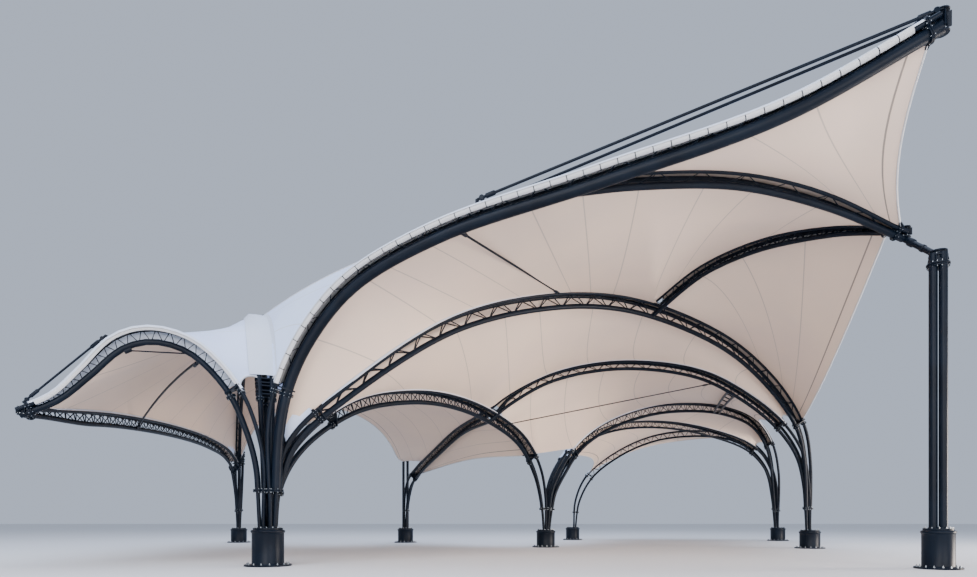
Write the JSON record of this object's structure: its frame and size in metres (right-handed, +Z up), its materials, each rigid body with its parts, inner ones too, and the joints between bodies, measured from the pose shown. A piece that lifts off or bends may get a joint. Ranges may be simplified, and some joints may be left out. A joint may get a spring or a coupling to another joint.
{
  "type": "tensile fabric canopy",
  "caption": "Large open canopy: cloth sheets stretched between curved three-chord steel arches that rise from tree-like columns on round drums, with one tall mast.",
  "frame": {"origin": "centre of the underside of the front column's foot, on the ground", "axes": "+X from the front column towards the mast side, +Y back from the tall front rail, +Z up"},
  "size_m": [37.15, 32.7672, 13.21],
  "materials": {
    "steel": "satin dark blue-grey paint on steel tube",
    "cloth": "coated woven membrane, matt, white above and warm grey-white below"
  },
  "bodies": {
    "root": {"arch_bowed": "steel", "arch_brow": "steel", "arch_cross": "steel", "arch_diagonal": "steel", "arch_far_arch": "steel", "arch_front_rail": "steel", "arch_inner": "steel", "arch_main": "steel", "arch_rear_half": "steel", "arch_rib": "steel", "arch_ridge": "steel", "arch_wing_back": "steel", "arch_wing_rail": "steel", "drum_corner": "steel", "drum_far": "steel", "drum_front": "steel", "drum_mast": "steel", "drum_middle": "steel", "drum_rear": "steel", "drum_side": "steel", "drum_wing": "steel", "front_tip_node": "steel", "link": "steel", "mast_post": "steel", "mast_strut": "steel", "peak_node": "steel", "sheet_back": "cloth", "sheet_band": "cloth", "sheet_field": "cloth", "sheet_inner": "cloth", "sheet_middle": "cloth", "sheet_rear": "cloth", "sheet_roof": "cloth", "sheet_saddle": "cloth", "sheet_side": "cloth", "sheet_tip": "cloth", "sheet_verge": "cloth", "sheet_wing": "cloth", "strut_roof": "steel", "strut_wing": "steel", "tie_front_far": "steel", "tie_front_near": "steel", "tie_rod": "steel", "tie_wing": "steel", "tree_corner": "steel", "tree_far": "steel", "tree_front": "steel", "tree_middle": "steel", "tree_rear": "steel", "tree_side": "steel", "tree_wing": "steel", "wing_tip_node": "steel"}
  },
  "joints": []
}
